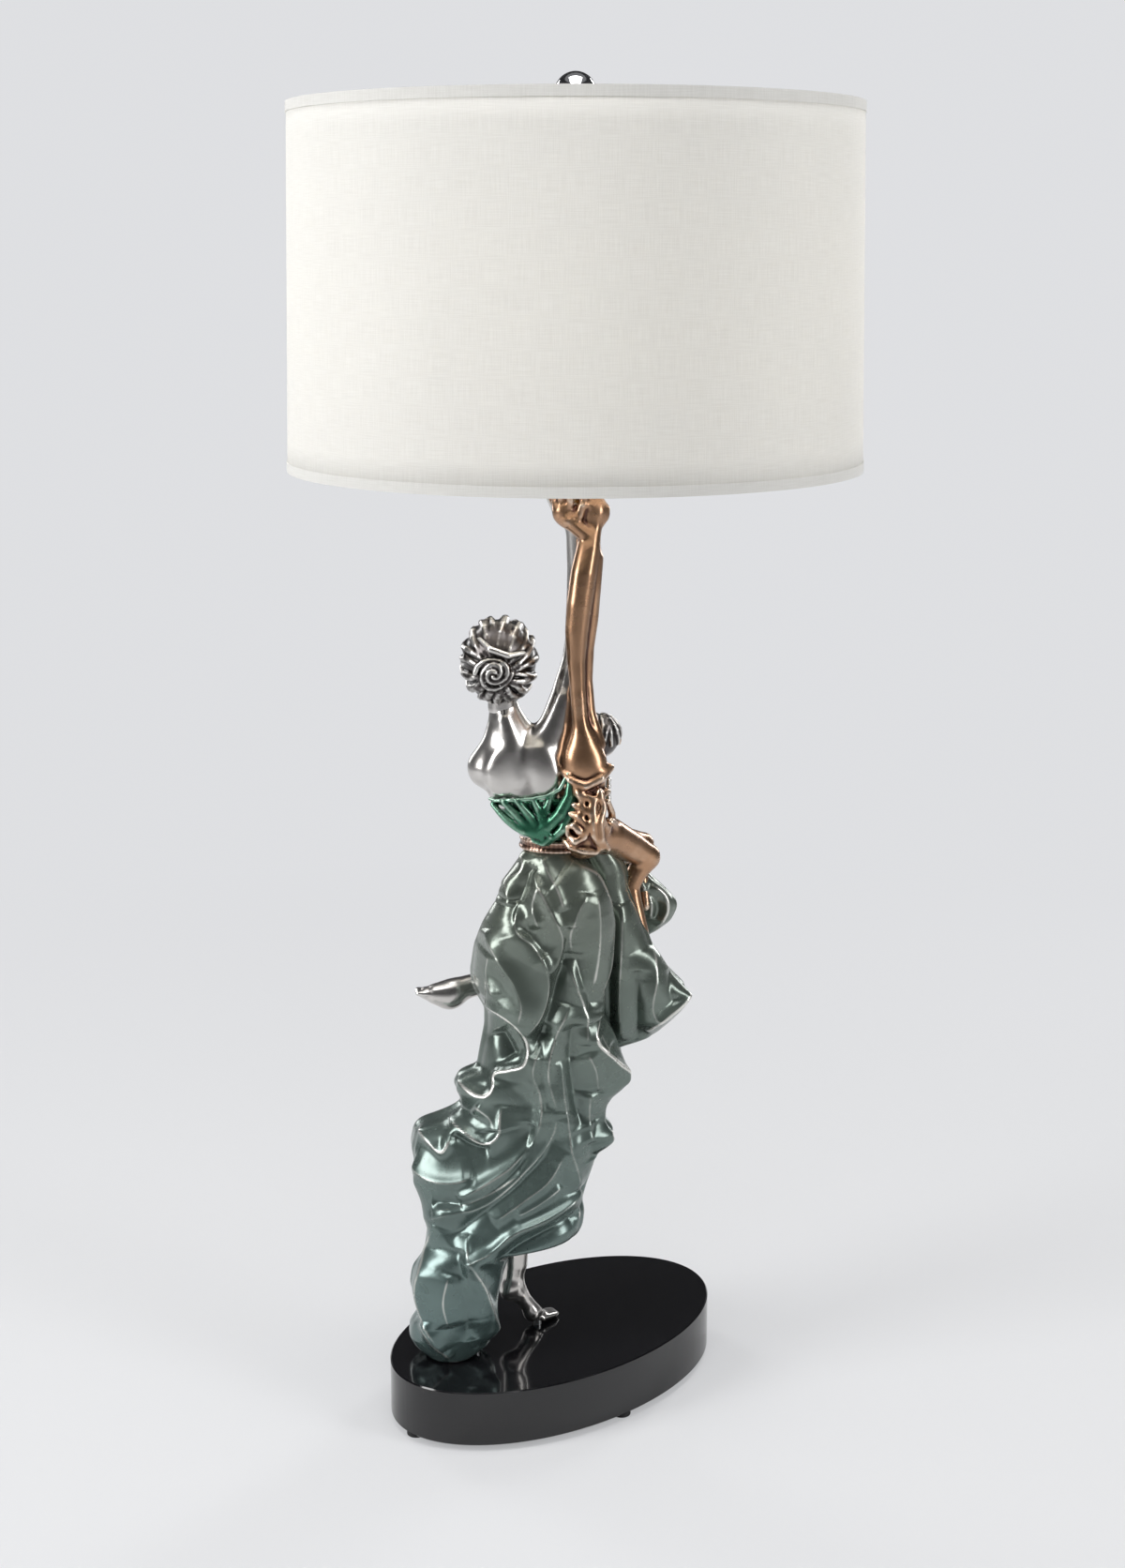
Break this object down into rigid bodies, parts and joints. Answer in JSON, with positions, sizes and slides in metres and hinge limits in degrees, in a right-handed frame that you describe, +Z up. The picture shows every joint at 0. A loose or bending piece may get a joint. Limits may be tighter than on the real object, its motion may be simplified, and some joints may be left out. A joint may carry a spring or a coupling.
{
  "type": "figural table lamp",
  "caption": "Table lamp: a drum shade on a harp, held up by a cast figure of a dancing woman with a child on her hip, on an oval black plinth.",
  "frame": {"origin": "on the floor, under the axis of the shade", "axes": "+Z up along the shade's axis, +X along the plinth's long axis towards the end where the skirt touches down, figures facing -Y"},
  "size_m": [0.4073, 0.4074, 0.9709],
  "materials": {
    "skin_silver": "silver leaf lacquer over cast resin",
    "hair_silver": "antiqued silver lacquer over cast resin",
    "bodice_green": "emerald metallic lacquer over cast resin",
    "belt_bronze": "bronze lacquer over cast resin",
    "skirt_green": "pearly grey-green lacquer with silver worn edges over cast resin",
    "child_bronze": "copper bronze lacquer over cast resin",
    "plinth_black": "black piano lacquer",
    "cover_board": "painted board",
    "foot_rubber": "matt",
    "bright_steel": "zinc plated",
    "brass": "bright",
    "harp_nickel": "nickel plated",
    "finial_silver": "polished",
    "liner_board": "pressed fibre",
    "black_plastic": "moulded",
    "terminal_white": "moulded",
    "lead_plastic": "clear jacket",
    "shade_linen": "off-white linen on a stiff liner",
    "bulb_glass": "frosted",
    "bulb_cap": "plain"
  },
  "bodies": {
    "root": {"belt": "belt_bronze", "bodice": "bodice_green", "bottom_cover": "cover_board", "centre_contact": "brass", "check_washer": "bright_steel", "child_far_arm": "child_bronze", "child_far_leg": "child_bronze", "child_hair": "hair_silver", "child_head": "child_bronze", "child_near_arm": "child_bronze", "child_near_leg": "child_bronze", "child_torso": "child_bronze", "cover_screws": "bright_steel", "fixing_bolts": "bright_steel", "fixing_washers": "bright_steel", "hand_dish": "brass", "harp": "harp_nickel", "harp_saddle": "harp_nickel", "inlet_bush": "black_plastic", "internal_lead": "lead_plastic", "lampholder_body": "black_plastic", "lifted_leg": "skin_silver", "lock_nut": "bright_steel", "plinth": "plinth_black", "rubber_feet": "foot_rubber", "screw_shell": "brass", "skirt": "skirt_green", "skirt_front_fold": "skirt_green", "skirt_side_drape": "skirt_green", "skirt_tail": "skirt_green", "socket_cap": "brass", "socket_liner": "liner_board", "socket_shell": "brass", "standing_leg": "skin_silver", "terminal_block": "terminal_white", "threaded_nipple": "brass", "woman_hair": "hair_silver", "woman_head": "skin_silver", "woman_left_arm": "skin_silver", "woman_raised_arm": "skin_silver", "woman_torso": "skin_silver"},
    "shade": {"shade_drum": "shade_linen", "shade_bottom_trim": "shade_linen", "shade_top_trim": "shade_linen", "shade_bottom_ring": "harp_nickel", "shade_fitter": "harp_nickel"},
    "finial": {"finial": "finial_silver"},
    "bulb": {"bulb_cap": "bulb_cap", "bulb_glass": "bulb_glass"},
    "ferrule_left": {"ferrule_left": "harp_nickel"},
    "ferrule_right": {"ferrule_right": "harp_nickel"},
    "switch_key": {"switch_key": "black_plastic"}
  },
  "joints": [
    {"name": "shade_turn", "type": "hinge", "parent": "root", "child": "shade", "pos_m": [0, 0, 0.9325], "axis": [0, 0, 1], "continuous": true},
    {"name": "finial_screw", "type": "hinge", "parent": "root", "child": "finial", "pos_m": [0, 0, 0.945], "axis": [0, 0, 1], "continuous": true},
    {"name": "bulb_screw", "type": "hinge", "parent": "root", "child": "bulb", "pos_m": [0, 0, 0.78], "axis": [0, 0, 1], "continuous": true},
    {"name": "ferrule_left_lift", "type": "slide", "parent": "root", "child": "ferrule_left", "axis": [0, 0, 1], "range_m": [0, 0.018]},
    {"name": "ferrule_right_lift", "type": "slide", "parent": "root", "child": "ferrule_right", "axis": [0, 0, 1], "range_m": [0, 0.018]},
    {"name": "switch_turn", "type": "hinge", "parent": "root", "child": "switch_key", "pos_m": [0, 0.03, 0.722], "axis": [0, 1, 0], "continuous": true}
  ]
}
